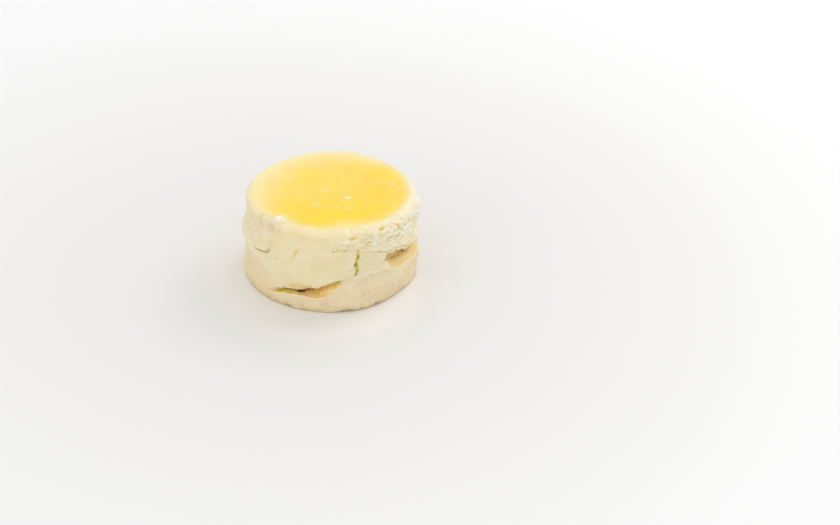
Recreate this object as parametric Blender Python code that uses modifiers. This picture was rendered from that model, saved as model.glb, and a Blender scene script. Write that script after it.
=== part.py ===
"""An individual key lime pie, moulded in a ring: a pale biscuit base, a thick lime cream and a lime curd top.

Units are metres, +Z is up, and the origin is the centre of the flat underside. A bearing is an angle round
the pie in degrees: 0 is the front (-Y), 90 the right (+X), 180 the back and -90 the left. Each of the three
solids is turned from a profile, and is then worked into its uneven hand-made form by moving its points.
"""

import bmesh
import bpy
import numpy as np
from mathutils import Matrix

MM = 0.001

# Driving dimensions
FOOT_RADIUS = 40.0 * MM
CREAM_TOP = 39.3 * MM  # level of the cream's rim
CURD_TOP = 40.5 * MM  # level of the curd's surface
JOINT_LEVEL = 15.5 * MM  # where the cream meets the base, away from the side
TAPER = 0.028  # radius lost for each metre of height
COLUMNS = 80
JOINT_RINGS = (0, 0.3, 0.55, 0.7, 0.8, 0.9)  # rings of points in the joint, as shares of the radius

# Clearances between the solids, and the depths of their hollows
LAYER_GAP = 0.3 * MM
DISH_DEPTH = 1.7 * MM  # of the hollow in the cream that holds the curd
DISH_SLOPE = 7.0 * MM  # how far in from the curd's edge that hollow is at full depth
CREVICE = 1.2 * MM  # space left between base and cream behind a tear
TEAR_MARGIN = 0.5 * MM  # least height between a tear's lip, its upper edge and the base's top
FOOT_ROUND = 1.0 * MM
CURD_INSET = 0.4 * MM  # least distance from the curd's edge to the outside of the cream
CURD_EDGE_FALL = 0.65  # how much the curd's surface rounds down at its edge, 0 for flat and 1 for fully round
FOLD_LIP = 0.8 * MM  # height over which a fold comes out to its full depth
FOLD_FADE = 6.0 * MM  # how far above its lip a fold runs out into the side

# Lines round the pie: stations of (bearing, millimetres)
JOINT_LINE = (
    (-150, 15.0), (-100, 16.2), (-75, 16.6), (-56, 15.8), (-46, 13.6), (-38, 11.4), (-31, 10.3), (-26, 10.9),
    (-15, 12.4), (-8, 12.9), (-4, 14.3), (6, 17.0), (12, 17.9), (33, 19.6), (37, 20.9), (42, 24.4),
    (47, 26.0), (52, 25.4), (60, 23.2), (72, 20.5), (80, 18.7), (92, 16.8), (104, 16.0), (140, 16.6),
    (180, 14.6),
)
TEAR_LIP_LINE = (
    (-120, 6.0), (-60, 4.4), (-44, 4.3), (-38, 5.7), (-31, 6.7), (-18, 7.8), (-8, 7.5), (-5, 8.2), (-1, 9.8),
    (3, 12.4), (7, 14.5), (12, 15.8), (25, 16.5), (37, 18.2), (43, 18.0), (52, 15.3), (61, 14.7), (77, 13.2),
    (92, 12.4), (104, 12.0), (140, 8.0), (180, 7.0),
)
TEAR_EDGE_LINE = (
    (-120, 12.0), (-60, 7.5), (-46, 4.8), (-41, 6.0), (-38, 7.6), (-31, 9.3), (-26, 10.5), (-15, 12.0),
    (-8, 12.5), (-4, 13.9), (6, 16.4), (12, 17.1), (25, 17.9), (37, 19.8), (42, 23.8), (47, 25.4),
    (52, 24.8), (60, 22.6), (72, 19.9), (80, 18.1), (92, 16.2), (104, 15.2), (140, 14.0), (180, 12.0),
)
TEAR_DEPTH_LINE = (
    (-120, 0), (-47, 0), (-43, 1.2), (-36, 3.0), (-28, 5.0), (-18, 6.5), (-3, 5.4), (4, 3.2), (9, 0.8),
    (13, 0), (38, 0), (41, 3.0), (46, 6.0), (65, 6.6), (80, 6.0), (92, 3.0), (100, 0.4), (105, 0), (180, 0),
)
FOLD_LINE = (
    (-140, 19.5), (-100, 20.8), (-85, 21.8), (-71, 23.2), (-60, 23.8), (-51, 25.2), (-44, 27.2), (-38, 30.0),
    (-25, 33.0), (0, 34.0), (12, 33.0), (25, 30.0), (41, 27.4), (53, 26.4), (62, 23.8), (72, 21.2),
    (80, 19.4), (100, 17.6), (140, 20.0), (180, 20.5),
)
FOLD_OUT_LINE = (
    (-150, 0), (-125, 1.3), (-100, 1.9), (-60, 2.0), (-50, 1.9), (-45, 1.7), (-43, 0), (-2, 0), (14, 0.3),
    (30, 0.7), (45, 1.1), (95, 1.1), (135, 0), (180, 0),
)
CURD_EDGE_LINE = (
    (0, 31.6), (20, 32.2), (39, 33.7), (62, 35.2), (85, 36.2), (110, 36.7), (140, 37.8), (180, 38.4),
    (-135, 38.5), (-95, 38.3), (-80, 37.4), (-66, 35.6), (-52, 32.8), (-43, 30.8), (-33, 31.2), (-20, 31.8),
)
SHOULDER_ROUND_LINE = (
    (0, 4.0), (45, 3.4), (90, 2.0), (135, 1.2), (180, 1.0), (-135, 1.0), (-90, 1.2), (-50, 3.2),
)

# Swellings and hollows of the side: (bearing, height, half width, half height, out), the last four in mm
SWELLINGS = (
    (88, 34.0, 9.0, 3.0, 1.1),
    (90, 26.0, 8.0, 2.4, -1.2),
    (88, 9.5, 10.0, 3.5, 1.0),
    (-88, 32.5, 12.0, 2.6, -1.2),
    (31, 23.0, 6.5, 4.2, -1.6),
    (-25, 28.0, 14.0, 9.0, 0.5),
    (150, 12.0, 16.0, 7.0, 0.7),
    (-155, 30.0, 15.0, 6.0, -0.8),
    (-125, 9.0, 12.0, 5.0, 0.6),
)

# Marks cut in the cream: (bearing, height, half width, half height, depth in mm, lean in degrees)
MARKS = (
    (18.8, 26.0, 0.75, 7.0, 1.9, 3),
    (10.0, 33.2, 3.2, 0.45, 1.1, 0),
    (-22.5, 29.0, 0.9, 4.4, 1.0, 38),
    (38.5, 38.2, 1.5, 0.7, 1.6, 0),
    (53.5, 35.8, 0.8, 1.8, 1.5, 0),
    (128.0, 29.0, 0.8, 6.0, 1.5, -12),
    (-150.0, 24.0, 4.2, 0.6, 1.2, 8),
)

# The peak of cream that stands on the rim: bearing, distance from the axis, half width and height
PEAK_BEARING, PEAK_RADIUS, PEAK_WIDTH, PEAK_HEIGHT = -44.0, 32.6 * MM, 2.6 * MM, 1.1 * MM

# Colours, as linear red, green, blue
BISCUIT = (0.76, 0.61, 0.40)
CREAM = (0.86, 0.78, 0.55)
CURD = (0.95, 0.68, 0.08)


def eased(share):
    """0 below 0, 1 above 1, and a smooth step between them."""
    share = np.clip(share, 0.0, 1.0)
    return share * share * (3 - 2 * share)


def apart(bearing, centre):
    """Signed degrees from a centre to a bearing, the short way round."""
    return (bearing - centre + 180) % 360 - 180


def line_at(bearing, stations):
    """Reads the smooth closed curve through (bearing, millimetres) stations at each bearing, in metres."""
    where, level = np.array(sorted(stations), float).T
    here = np.concatenate([where[-1:] - 360, where, where[:2] + 360])
    value = np.concatenate([level[-1:], level, level[:2]]) * MM
    slope = np.zeros(len(here))
    slope[1:-1] = (value[2:] - value[:-2]) / (here[2:] - here[:-2])
    slope[0] = slope[-3]
    turned = (bearing - where[0]) % 360 + where[0]
    step = np.searchsorted(here, turned, side="right") - 1
    width = here[step + 1] - here[step]
    t = (turned - here[step]) / width
    start = (2 * t**3 - 3 * t**2 + 1) * value[step] + (t**3 - 2 * t**2 + t) * width * slope[step]
    return start + (3 * t**2 - 2 * t**3) * value[step + 1] + (t**3 - t**2) * width * slope[step + 1]


def fold(bearing, height):
    """Cream hanging over the fold line: nothing below it, full just above it, and fading upwards."""
    out = np.maximum(line_at(bearing, FOLD_OUT_LINE), 0)
    above = height - line_at(bearing, FOLD_LINE)
    return out * eased(above / FOLD_LIP) * np.exp(-np.maximum(above - FOLD_LIP, 0) / FOLD_FADE)


def side_radius(bearing, height):
    """Radius of the pie's side: a tapering ring, with swellings and hanging folds worked into it."""
    turn = np.radians(bearing)
    radius = FOOT_RADIUS - TAPER * height
    radius = radius + 0.35 * MM * np.sin(2 * turn + 0.6) + 0.25 * MM * np.sin(3 * turn + 90 * height)
    for centre, level, wide, tall, out in SWELLINGS:
        across = np.radians(apart(bearing, centre)) * FOOT_RADIUS / (wide * MM)
        radius = radius + out * MM * np.exp(-(across**2) - ((height - level * MM) / (tall * MM)) ** 2)
    return radius + fold(bearing, height)


def joint_height(bearing, radius):
    """The surface where cream meets base: level inside, and up or down to the joint line at the side."""
    outer = eased((radius - 0.45 * FOOT_RADIUS) / (0.50 * FOOT_RADIUS))
    return JOINT_LEVEL + (line_at(bearing, JOINT_LINE) - JOINT_LEVEL) * outer


def tear_depth(bearing):
    """How far in the base's side is torn away at each bearing."""
    return np.maximum(line_at(bearing, TEAR_DEPTH_LINE), 0)


def tear_at_joint(bearing):
    """How far in the tear still goes at the joint: a tear that ends lower down is closed over there."""
    closed_over = line_at(bearing, JOINT_LINE) - line_at(bearing, TEAR_EDGE_LINE)
    return tear_depth(bearing) * (1 - eased((closed_over - 0.8 * MM) / (1.5 * MM)))


def base_top(bearing, radius):
    """The base's top: under the joint by half the gap, and by a crevice more behind each tear."""
    torn = eased(tear_at_joint(bearing) / (2 * MM))
    crevice = CREVICE * torn * eased((radius - 0.50 * FOOT_RADIUS) / (0.30 * FOOT_RADIUS))
    return joint_height(bearing, radius) - LAYER_GAP / 2 - crevice


def brow(bearing):
    """Radius and height of the side's top, where the shoulder starts to round over, and its roundness."""
    roundness = line_at(bearing, SHOULDER_ROUND_LINE)
    return side_radius(bearing, CREAM_TOP - roundness), CREAM_TOP - roundness, roundness


def curd_edge(bearing):
    """Radius of the curd's edge."""
    return np.minimum(line_at(bearing, CURD_EDGE_LINE), brow(bearing)[0] - CURD_INSET)


def cream_surface(bearing, radius):
    """The cream's top: a dish under the curd, a rim with one peak, and a shoulder rounded into the side."""
    outside, _, roundness = brow(bearing)
    dish = DISH_DEPTH * eased((curd_edge(bearing) - radius) / DISH_SLOPE)
    over = np.clip((radius - (outside - roundness)) / roundness, 0, 1)
    along = np.radians(apart(bearing, PEAK_BEARING)) * PEAK_RADIUS / PEAK_WIDTH
    peak = PEAK_HEIGHT * np.exp(-(along**2) - ((radius - PEAK_RADIUS) / PEAK_WIDTH) ** 2)
    return CREAM_TOP - dish - roundness * (1 - np.sqrt(1 - over**2)) + peak


def food_material(name, colour, roughness):
    """A plain coloured surface."""
    material = bpy.data.materials.new(name)
    material.use_nodes = True
    shader = material.node_tree.nodes["Principled BSDF"]
    shader.inputs["Base Color"].default_value = (*colour, 1.0)
    shader.inputs["Roughness"].default_value = roughness
    shader.inputs["Metallic"].default_value = 0.0
    return material


def turned_solid(name, profile, colour, roughness):
    """Turns a half profile of (radius, height) points, from axis to axis, into a closed mesh object."""
    outline = bpy.data.meshes.new(name + "_profile")
    points = [(radius, 0.0, height) for radius, height in profile]
    outline.from_pydata(points, [(i, i + 1) for i in range(len(points) - 1)], [])
    blank = bpy.data.objects.new(name + "_blank", outline)
    bpy.context.scene.collection.objects.link(blank)
    screw = blank.modifiers.new("turn", "SCREW")
    screw.axis = "Z"
    screw.steps = screw.render_steps = COLUMNS
    screw.use_merge_vertices = True
    screw.merge_threshold = 0.01 * MM
    graph = bpy.context.evaluated_depsgraph_get()
    mesh = bpy.data.meshes.new_from_object(blank.evaluated_get(graph))
    bpy.data.objects.remove(blank)
    bpy.data.meshes.remove(outline)
    work = bmesh.new()
    work.from_mesh(mesh)
    bmesh.ops.remove_doubles(work, verts=work.verts, dist=0.01 * MM)
    bmesh.ops.recalc_face_normals(work, faces=work.faces)
    work.to_mesh(mesh)
    work.free()
    mesh.name = name
    mesh.materials.append(food_material(name, colour, roughness))
    solid = bpy.data.objects.new(name, mesh)
    PIE.objects.link(solid)
    return solid


def work_points(solid, form):
    """Moves every point: form(bearing, radius, height) gives its new radius and height."""
    mesh = solid.data
    places = np.empty(len(mesh.vertices) * 3)
    mesh.vertices.foreach_get("co", places)
    x, y, height = places.reshape(-1, 3).T
    bearing = np.degrees(np.arctan2(x, -y))
    radius, height = form(bearing, np.hypot(x, y), height)
    turn = np.radians(bearing)
    moved = np.stack([radius * np.sin(turn), -radius * np.cos(turn), height], axis=1)
    mesh.vertices.foreach_set("co", moved.ravel())
    mesh.update()
    mesh.shade_smooth()
    mesh.set_sharp_from_angle(angle=np.radians(50))


def make_base():
    """The biscuit base: a flat disc with a rounded foot, torn open at its side in two places.

    On the blank, a point's height is its share of the way up: the foot's rounding is at 0.1, the tear's
    lower lip at 1, its upper edge at 2 and the top at 3.
    """
    side = (3, 2.55, 2.12, 2, 1.75, 1.5, 1.25, 1.06, 1, 0.85, 0.6, 0.35, 0.1)
    profile = [(ring * FOOT_RADIUS, 3.0) for ring in JOINT_RINGS]
    profile += [(FOOT_RADIUS, share) for share in side]
    profile += [(FOOT_RADIUS - FOOT_ROUND, 0), (0.5 * FOOT_RADIUS, 0), (0, 0)]

    def form(bearing, radius, share):
        torn = tear_depth(bearing)
        torn_top = tear_at_joint(bearing)
        rim = side_radius(bearing, line_at(bearing, JOINT_LINE)) - torn_top
        top = base_top(bearing, rim)
        edge = np.minimum(line_at(bearing, TEAR_EDGE_LINE), top - TEAR_MARGIN)
        lip = np.minimum(line_at(bearing, TEAR_LIP_LINE), edge - TEAR_MARGIN)
        height = np.select(
            [share <= 1, share <= 2],
            [lip * share, lip + (edge - lip) * (share - 1)],
            edge + (top - edge) * (share - 2),
        )
        floor = eased((share - 1) / 0.06) * (0.2 + 0.8 * np.clip((share - 1) / 0.75, 0, 1))
        depth = np.where(share <= 2, torn * floor, torn + (torn_top - torn) * eased((share - 2) / 0.12))
        radius = radius * (side_radius(bearing, height) - depth) / FOOT_RADIUS
        return radius, np.where(share < 3, height, base_top(bearing, radius))

    work_points(turned_solid("base", profile, BISCUIT, 0.7), form)


def make_filling():
    """The lime cream: it lies on the base, hangs over its tears, and is dished on top to hold the curd.

    On the blank, a point's height is its share of the way up: the foot is at 0, the fold line at 1, the
    fold's lip at 2 and the shoulder at 3.
    """
    rings = (0, 0.35, 0.6, 0.7, 0.76, 0.82, 0.87, 0.91, 0.95, 0.98)
    side = (3, 2.8, 2.6, 2.4, 2.2, 2, 1, 0.85, 0.7, 0.55, 0.4, 0.25, 0.12, 0)
    profile = [(ring * FOOT_RADIUS, 3.0) for ring in rings]
    profile += [(FOOT_RADIUS, share) for share in side]
    profile += [(ring * FOOT_RADIUS, 0.0) for ring in reversed(JOINT_RINGS)]

    def form(bearing, radius, share):
        foot = line_at(bearing, JOINT_LINE) + LAYER_GAP / 2
        shoulder = brow(bearing)[1]
        crease = np.clip(line_at(bearing, FOLD_LINE), foot + LAYER_GAP, shoulder - 2 * FOLD_LIP)
        lip = crease + FOLD_LIP
        height = np.select(
            [share <= 1, share <= 2],
            [foot + (crease - foot) * share, crease + (lip - crease) * (share - 1)],
            lip + (shoulder - lip) * (share - 2),
        )
        radius = radius * side_radius(bearing, height) / FOOT_RADIUS
        on_side = (share > 0) & (share < 3)
        under = joint_height(bearing, radius) + LAYER_GAP / 2
        return radius, np.where(on_side, height, np.where(share > 0, cream_surface(bearing, radius), under))

    solid = turned_solid("filling", profile, CREAM, 0.5)
    work_points(solid, form)
    cut_marks(solid)


def cut_marks(solid):
    """Cuts the cracks, gouges and pits into the cream's side, with one flattened ball for each."""
    for number, (bearing, height, half_wide, half_tall, depth, lean) in enumerate(MARKS):
        turn = np.radians(bearing)
        reach = side_radius(bearing, height * MM)
        bpy.ops.mesh.primitive_uv_sphere_add(segments=12, ring_count=8, radius=1.0)
        cutter = bpy.context.object
        cutter.name = f"mark_{number}"
        cutter.matrix_world = (
            Matrix.Rotation(turn, 4, "Z")
            @ Matrix.Translation((0, -reach, height * MM))
            @ Matrix.Rotation(np.radians(lean), 4, "Y")
            @ Matrix.Diagonal((half_wide * MM, depth * MM, half_tall * MM, 1.0))
        )
        cutter.hide_render = True
        cutter.display_type = "WIRE"
        for home in list(cutter.users_collection):
            home.objects.unlink(cutter)
        CUTTERS.objects.link(cutter)
        cut = solid.modifiers.new(cutter.name, "BOOLEAN")
        cut.operation = "DIFFERENCE"
        cut.object = cutter


def make_topping():
    """The lime curd: a thin lens that fills the dish in the cream and rounds down to its own wavy edge.

    On the blank, a point's height is 1 on the curd's surface, 0 on its underside and 0.5 at its edge.
    """
    rings = (0, 0.35, 0.65, 0.82, 0.91, 0.97)
    profile = [(ring * FOOT_RADIUS, 1.0) for ring in rings]
    profile += [(FOOT_RADIUS, 0.5)]
    profile += [(ring * FOOT_RADIUS, 0.0) for ring in reversed(rings)]

    def form(bearing, radius, share):
        ring = radius / FOOT_RADIUS
        radius = ring * curd_edge(bearing)
        under = cream_surface(bearing, radius) + LAYER_GAP
        least = CREAM_TOP + LAYER_GAP
        crown = least + (CURD_TOP - least) * np.sqrt(1 - CURD_EDGE_FALL * ring**10)
        return radius, under + share * np.maximum(crown - under, LAYER_GAP)

    work_points(turned_solid("topping", profile, CURD, 0.15), form)


for leftover in list(bpy.data.objects):
    bpy.data.objects.remove(leftover)
PIE = bpy.data.collections.new("key_lime_pie")
CUTTERS = bpy.data.collections.new("cutters")
bpy.context.scene.collection.children.link(PIE)
bpy.context.scene.collection.children.link(CUTTERS)
make_base()
make_filling()
make_topping()
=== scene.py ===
"""The looks of an individual key lime pie: biscuit base, lime cream and lime curd, on a pale floor.

Metres, +Z up, origin at the centre of the pie's underside. A bearing is an angle round the pie in degrees:
0 is the front (-Y), 90 the right (+X), 180 the back and -90 the left. Each layer is one closed surface on a
grid of two parameters, the bearing and a place along a profile that runs from the centre of the layer's
underside, out and up its side, and over its top to the centre. Fine relief is laid on along the normals.
"""

from functools import partial
from itertools import product

import bpy
import numpy as np
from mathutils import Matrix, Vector


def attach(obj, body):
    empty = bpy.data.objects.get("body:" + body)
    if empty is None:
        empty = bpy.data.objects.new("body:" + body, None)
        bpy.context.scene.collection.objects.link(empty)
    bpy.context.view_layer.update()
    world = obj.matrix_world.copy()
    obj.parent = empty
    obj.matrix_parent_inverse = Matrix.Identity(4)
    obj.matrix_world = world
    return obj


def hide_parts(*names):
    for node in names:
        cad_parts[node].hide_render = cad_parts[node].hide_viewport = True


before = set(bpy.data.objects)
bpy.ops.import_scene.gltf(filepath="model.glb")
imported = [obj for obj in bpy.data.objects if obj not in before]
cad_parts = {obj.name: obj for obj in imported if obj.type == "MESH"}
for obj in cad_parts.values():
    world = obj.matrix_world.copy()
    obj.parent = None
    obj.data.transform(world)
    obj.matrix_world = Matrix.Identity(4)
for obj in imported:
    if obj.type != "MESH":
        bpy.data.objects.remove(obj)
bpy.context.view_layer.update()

MM = 0.001

# ---------------------------------------------------------------- main form, as in the part's source

FOOT_RADIUS = 40.0 * MM
CREAM_TOP = 39.3 * MM
CURD_TOP = 40.5 * MM
JOINT_LEVEL = 15.5 * MM
TAPER = 0.028
DISH_DEPTH = 1.7 * MM
DISH_SLOPE = 7.0 * MM
CREVICE = 1.2 * MM
TEAR_MARGIN = 0.5 * MM
FOOT_ROUND = 1.0 * MM
CURD_INSET = 0.4 * MM
FOLD_LIP = 0.8 * MM
FOLD_FADE = 6.0 * MM

# Lines round the pie: stations of (bearing, millimetres)
JOINT_LINE = (
    (-150, 15.0), (-100, 16.2), (-75, 16.6), (-56, 15.8), (-46, 13.6), (-38, 11.4), (-31, 10.3), (-26, 10.9),
    (-15, 12.4), (-8, 12.9), (-4, 14.3), (6, 17.0), (12, 17.9), (33, 19.6), (37, 20.9), (42, 24.4),
    (47, 26.0), (52, 25.4), (60, 23.2), (72, 20.5), (80, 18.7), (92, 16.8), (104, 16.0), (140, 16.6),
    (180, 14.6),
)
TEAR_LIP_LINE = (
    (-120, 6.0), (-60, 4.4), (-44, 4.3), (-38, 5.7), (-31, 6.7), (-18, 7.8), (-8, 7.5), (-5, 8.2), (-1, 9.8),
    (3, 12.4), (7, 14.5), (12, 15.8), (25, 16.5), (37, 18.2), (43, 18.0), (52, 15.3), (61, 14.7), (77, 13.2),
    (92, 12.4), (104, 12.0), (140, 8.0), (180, 7.0),
)
TEAR_EDGE_LINE = (
    (-120, 12.0), (-60, 7.5), (-46, 4.8), (-41, 6.0), (-38, 7.6), (-31, 9.3), (-26, 10.5), (-15, 12.0),
    (-8, 12.5), (-4, 13.9), (6, 16.4), (12, 17.1), (25, 17.9), (37, 19.8), (42, 23.8), (47, 25.4),
    (52, 24.8), (60, 22.6), (72, 19.9), (80, 18.1), (92, 16.2), (104, 15.2), (140, 14.0), (180, 12.0),
)
TEAR_DEPTH_LINE = (
    (-120, 0), (-47, 0), (-43, 1.2), (-36, 3.0), (-28, 5.0), (-18, 6.5), (-3, 5.4), (4, 3.2), (9, 0.8),
    (13, 0), (38, 0), (41, 3.0), (46, 6.0), (65, 6.6), (80, 6.0), (92, 3.0), (100, 0.4), (105, 0), (180, 0),
)
FOLD_LINE = (
    (-140, 19.5), (-100, 20.8), (-85, 21.8), (-71, 23.2), (-60, 23.8), (-51, 25.2), (-44, 27.2), (-38, 30.0),
    (-25, 33.0), (0, 34.0), (12, 33.0), (25, 30.0), (41, 27.4), (53, 26.4), (62, 23.8), (72, 21.2),
    (80, 19.4), (100, 17.6), (140, 20.0), (180, 20.5),
)
FOLD_OUT_LINE = (
    (-150, 0), (-125, 1.3), (-100, 1.9), (-60, 2.0), (-50, 1.9), (-45, 1.7), (-43, 0), (-2, 0), (14, 0.3),
    (30, 0.7), (45, 1.1), (95, 1.1), (135, 0), (180, 0),
)
CURD_EDGE_LINE = (
    (0, 31.6), (20, 32.2), (39, 33.7), (62, 35.2), (85, 36.2), (110, 36.7), (140, 37.8), (180, 38.4),
    (-135, 38.5), (-95, 38.3), (-80, 37.4), (-66, 35.6), (-52, 32.8), (-43, 30.8), (-33, 31.2), (-20, 31.8),
)
SHOULDER_ROUND_LINE = (
    (0, 4.0), (45, 3.4), (90, 2.0), (135, 1.2), (180, 1.0), (-135, 1.0), (-90, 1.2), (-50, 3.2),
)

# Swellings and hollows of the side: (bearing, height, half width, half height, out), the last four in mm
SWELLINGS = (
    (88, 34.0, 9.0, 3.0, 1.1),
    (90, 26.0, 8.0, 2.4, -1.2),
    (88, 9.5, 10.0, 3.5, 1.0),
    (-88, 32.5, 12.0, 2.6, -1.2),
    (31, 23.0, 6.5, 4.2, -1.6),
    (-25, 28.0, 14.0, 9.0, 0.5),
    (150, 12.0, 16.0, 7.0, 0.7),
    (-155, 30.0, 15.0, 6.0, -0.8),
    (-125, 9.0, 12.0, 5.0, 0.6),
)
PEAK_BEARING = -44.0
PEAK_RADIUS = 32.6 * MM
PEAK_WIDTH = 2.6 * MM
PEAK_HEIGHT = 1.1 * MM

# ---------------------------------------------------------------- fine form, laid over it here

COLUMNS = 720

# Where the biscuit's colour gives way to the cream's: off the joint where one is smeared over the other
SEEN_JOINT_LINE = (
    (-150, 15.0), (-100, 16.0), (-75, 15.4), (-55, 16.2), (-46, 12.8), (-42, 8.6), (-38, 6.4), (-31, 8.0),
    (-18, 9.8), (-8, 10.0), (-1, 12.3), (3, 14.4), (6, 16.6), (12, 17.9), (17, 18.3), (25, 18.0), (43, 17.8),
    (47, 20.0), (60, 19.0), (77, 16.5), (86, 16.0), (92, 16.3), (104, 16.0), (140, 16.6), (180, 14.6),
)
# How far the cream's ragged lower edge hangs below the joint over the tears
HANG_LINE = (
    (-60, 0), (-38, 0), (-35, 0.6), (-32, 1.0), (-29, 0.8), (-27, 0.7), (-22, 1.1), (-18, 0.9), (-14.5, 0.1),
    (-7, 0.4), (-2, 0), (8, 0.3), (14, 0), (42, 0), (45, 1.1), (47.5, 1.8), (50, 1.2), (53.5, 1.7),
    (57, 1.1), (60.5, 1.6), (65, 0.8), (70, 0.3), (76, 0.4), (84, 0), (180, 0),
)
# Width of the band at its edge where the curd is thin and pale, wide at the left and back as a painted sheen
CURD_THIN_LINE = (
    (0, 3.2), (12, 8.0), (24, 7.0), (34, 4.0), (50, 2.6), (85, 2.6), (120, 4.5), (150, 10.0), (180, 16.0),
    (-135, 20.0), (-90, 19.0), (-58, 6.5), (-35, 3.2),
)
RIM_RISE = 0.75 * MM  # how far the cream's rim stands up where it meets the curd
RIM_FADE = 3.6 * MM  # how far out from the curd's edge that runs out
BED_FADE = 2.2 * MM  # how far in under the curd it runs out
HIDDEN_FOOT = 1.5 * MM  # how far the cream's foot runs down inside the base where the joint is hidden
CREAM_PROUD = 0.08 * MM  # how far the cream stands out from the ring's side
CURD_THICKNESS = 0.60 * MM  # how deep the curd lies in the cream at its edge
CURD_FEATHER = 0.7 * MM  # how far in from its edge the curd starts to dip into the cream
CURD_SINK = 0.22 * MM  # how far it dips
PEAK_TOP = (CREAM_TOP + PEAK_HEIGHT + RIM_RISE) / MM  # in mm

# Cracks and gouges in the cream: route of (bearing, height), half width, depth and height of the raised
# burr beside it, all in mm but the bearing. A depth below 0 is a ridge.
SLITS = (
    (((19.2, 32.1), (20.0, 30.8), (19.7, 27.9), (17.9, 24.4), (19.1, 22.6), (18.6, 20.6), (17.6, 19.0)),
     0.66, 1.6, 0.40),
    (((2.8, 32.2), (6.0, 32.5), (9.0, 32.3), (13.6, 32.9)), 0.46, 0.9, 0.20),
    (((14.6, 40.0), (13.0, 39.0), (12.2, 37.2)), 1.15, -0.30, 0.0),
    (((56.0, 35.0), (62.0, 31.8), (68.5, 28.0), (76.0, 23.6), (81.0, 20.6)), 0.95, -0.40, 0.0),
    (((20.5, 18.9), (31.0, 18.5), (37.0, 18.4), (41.5, 18.3)), 0.60, -0.50, 0.0),
    (((-19.2, 32.3), (-21.4, 31.3), (-22.6, 29.2)), 0.60, 0.9, 0.30),
    (((-22.9, 29.0), (-24.2, 27.4), (-25.8, 25.0)), 0.55, 0.45, 0.22),
    (((-8.5, 30.6), (-9.6, 28.2)), 0.55, 0.35, 0.16),
    (((126.0, 23.5), (128.0, 27.0), (127.0, 30.0), (130.5, 34.5)), 0.55, 1.5, 0.22),
    (((-155.0, 24.4), (-149.0, 24.5), (-144.0, 23.6)), 0.42, 1.0, 0.14),
    (((-168.0, 31.0), (-164.0, 31.9), (-160.0, 33.6)), 0.42, 0.7, 0.12),
    (((24.0, 30.6), (31.0, 29.4), (38.0, 28.0)), 0.34, 0.6, 0.16),
)

# Pits: (bearing, height, half width, half height, depth), the last four in mm
PITS = (
    (38.8, 38.5, 1.4, 0.65, 1.3),
    (53.0, 36.0, 0.8, 1.8, 1.5),
    (45.5, 25.6, 0.9, 0.7, 0.8),
    (43.0, 24.2, 0.6, 1.0, 0.7),
    (60.0, 31.6, 1.5, 0.5, 0.7),
    (66.0, 34.5, 0.7, 1.1, 0.8),
    (17.0, 37.7, 1.9, 0.50, 1.0),
    (36.6, 27.9, 1.0, 0.5, 0.8),
    (41.2, 26.6, 0.6, 0.6, 0.9),
    (27.0, 34.6, 1.6, 0.5, 0.6),
    (5.4, 36.6, 2.2, 0.5, 0.35),
    (-33.0, 21.5, 0.5, 0.4, 0.4),
    (72.0, 31.5, 1.4, 0.6, 0.8),
    (105.0, 33.0, 1.2, 0.6, 0.8),
    (165.0, 27.0, 1.4, 0.5, 0.9),
    (-118.0, 31.5, 1.1, 0.5, 0.6),
    (-133.0, 27.5, 0.7, 0.6, 0.5),
    (146.0, 36.0, 1.3, 0.5, 0.8),
)

# Where the spatula left the cream rough: (bearing, height, half width, half height, share), sizes in mm
ROUGH_PLACES = (
    (28, 34.8, 14.0, 4.6, 0.9),
    (52, 33.0, 13.0, 7.0, 1.0),
    (80, 31.0, 12.0, 9.0, 1.0),
    (10, 34.5, 7.0, 3.6, 0.7),
    (16, 21.5, 6.0, 4.0, 0.5),
    (-45, 36.5, 9.0, 3.0, 0.45),
    (165, 30.0, 20.0, 8.0, 0.8),
    (-150, 26.0, 14.0, 7.0, 0.6),
    (-85, 30.0, 16.0, 7.0, 0.3),
)

# Bites out of the foot's edge: (bearing, half width in mm, depth in mm)
FOOT_BITES = (
    (-29, 2.0, 1.1), (-18, 1.2, 0.6), (11, 2.6, 1.3), (21, 1.1, 0.6), (33, 1.6, 1.1), (84, 1.8, 0.8),
    (118, 2.0, 0.7), (152, 1.6, 0.6), (-170, 2.2, 0.8), (-131, 1.8, 0.6), (-96, 1.5, 0.5), (-63, 1.7, 0.5),
)

# Bubbles on the curd: (x, y, radius, height, whiteness), the first four in mm. The whiteness is a painted
# highlight. A height below 0 is a burst one.
BUBBLES = (
    (7.2, -5.3, 0.85, 0.50, 1.0),
    (8.5, -5.0, 0.80, 0.45, 1.0),
    (9.4, -5.6, 0.45, 0.25, 0.8),
    (5.9, -1.0, 0.60, 0.30, 0.6),
    (7.3, -0.4, 0.40, 0.20, 0.5),
    (-6.6, -11.6, 0.60, 0.36, 0.8),
    (-5.2, -10.4, 0.50, 0.30, 0.7),
    (-7.6, -12.4, 0.45, 0.26, 0.6),
    (-2.8, -11.4, 0.45, 0.24, 0.5),
    (-3.2, 1.2, 1.30, -0.20, 0.35),
    (-1.2, 1.6, 0.90, -0.16, 0.30),
    (28.6, 6.8, 0.85, 0.36, 0.7),
    (8.4, -14.6, 1.10, -0.20, 0.35),
    (10.2, -13.9, 0.60, 0.20, 0.30),
    (5.8, 9.5, 0.60, 0.20, 0.3),
    (15.0, 17.5, 0.50, 0.22, 0.3),
    (-19.0, 12.0, 0.55, 0.22, 0.3),
    (-12.0, 25.0, 0.50, -0.20, 0.2),
    (22.0, -11.0, 0.45, 0.18, 0.3),
    (-26.0, -3.0, 0.45, 0.18, 0.3),
)

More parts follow.
